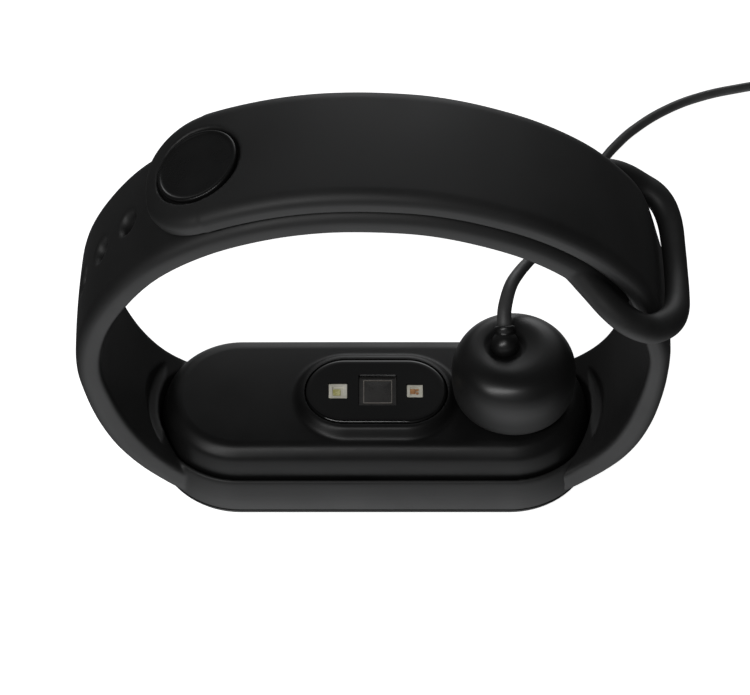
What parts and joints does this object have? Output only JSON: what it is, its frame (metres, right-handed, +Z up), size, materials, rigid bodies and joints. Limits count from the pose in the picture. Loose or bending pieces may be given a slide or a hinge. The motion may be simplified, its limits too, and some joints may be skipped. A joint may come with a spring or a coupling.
{
  "type": "fitness tracker band",
  "caption": "Closed wrist band with a capsule tracker resting display-down and a round magnetic charging puck on its back, with a thin lead coiled to a plug.",
  "frame": {"origin": "centre of the display glass face, which lies on the table", "axes": "+X along the tracker towards the end with the charging contacts and the keeper loop, +Y across the band, +Z up out of the tracker's back"},
  "size_m": [0.0954, 0.0828, 0.0501],
  "materials": {
    "strap_rubber": "satin",
    "stud_plastic": "satin",
    "front_glass": "gloss",
    "case_plastic": "satin",
    "display": "gloss",
    "seal_foam": "matte",
    "circuit_board": "satin",
    "cell_foil": "satin",
    "chip_plastic": "matte",
    "steel": "satin",
    "sensor_lens": "gloss",
    "led_resin": "satin",
    "gold_contact": "gloss",
    "puck_plastic": "satin",
    "magnet_nickel": "gloss",
    "cord_jacket": "satin",
    "tie_rubber": "matte",
    "plug_overmould": "satin",
    "plug_steel": "satin",
    "plug_insulator": "matte"
  },
  "bodies": {
    "tracker": {"front_glass": "front_glass", "front_frame": "case_plastic", "display_panel": "display", "case_seal": "seal_foam", "rear_case": "case_plastic", "main_board": "circuit_board", "battery_cell": "cell_foil", "processor_chip": "chip_plastic", "radio_chip": "chip_plastic", "motion_sensor": "chip_plastic", "vibration_motor": "steel", "sensor_window": "sensor_lens", "sensor_board": "circuit_board", "photodiode": "chip_plastic", "sensor_led_left": "led_resin", "sensor_led_right": "led_resin", "charge_pad_left": "gold_contact", "charge_pad_right": "gold_contact", "keeper_plate_left": "steel", "keeper_plate_right": "steel"},
    "strap": {"strap_cradle": "strap_rubber", "strap_hole_arm": "strap_rubber", "strap_stud_arm": "strap_rubber"},
    "clasp": {"strap_clasp_tip": "strap_rubber", "clasp_stud": "stud_plastic"},
    "charger": {"puck_shell": "puck_plastic", "puck_base": "puck_plastic", "puck_magnet_left": "magnet_nickel", "puck_magnet_right": "magnet_nickel", "pin_spring_left": "steel", "pin_spring_right": "steel", "puck_board": "circuit_board", "cord_boss": "puck_plastic", "cord_lead": "cord_jacket", "cord_coil": "cord_jacket", "coil_tie": "tie_rubber", "cord_tail": "cord_jacket", "plug_body": "plug_overmould", "plug_shell": "plug_steel", "plug_tongue": "plug_insulator", "plug_contact_1": "gold_contact", "plug_contact_2": "gold_contact", "plug_contact_3": "gold_contact", "plug_contact_4": "gold_contact"},
    "pogo_left": {"pogo_pin_left": "gold_contact"},
    "pogo_right": {"pogo_pin_right": "gold_contact"}
  },
  "joints": [
    {"name": "band_release", "type": "slide", "parent": "tracker", "child": "strap", "axis": [0, 0, 1], "range_m": [0, 0.009]},
    {"name": "charger_lift", "type": "slide", "parent": "strap", "child": "charger", "axis": [0, 0, 1], "range_m": [0, 0.01]},
    {"name": "clasp_lift", "type": "hinge", "parent": "strap", "child": "clasp", "pos_m": [-0.0045, 0, 0.05], "axis": [0, 1, 0], "range_deg": [0, 20], "stiffness_Nm_per_rad": 0.01},
    {"name": "pogo_left_press", "type": "slide", "parent": "charger", "child": "pogo_left", "axis": [0, 0, 1], "range_m": [0, 0.0005], "stiffness_N_per_m": 120, "springref_m": -0.0002, "deforming": ["pin_spring_left"]},
    {"name": "pogo_right_press", "type": "slide", "parent": "charger", "child": "pogo_right", "axis": [0, 0, 1], "range_m": [0, 0.0005], "stiffness_N_per_m": 120, "springref_m": -0.0002, "deforming": ["pin_spring_right"]}
  ]
}
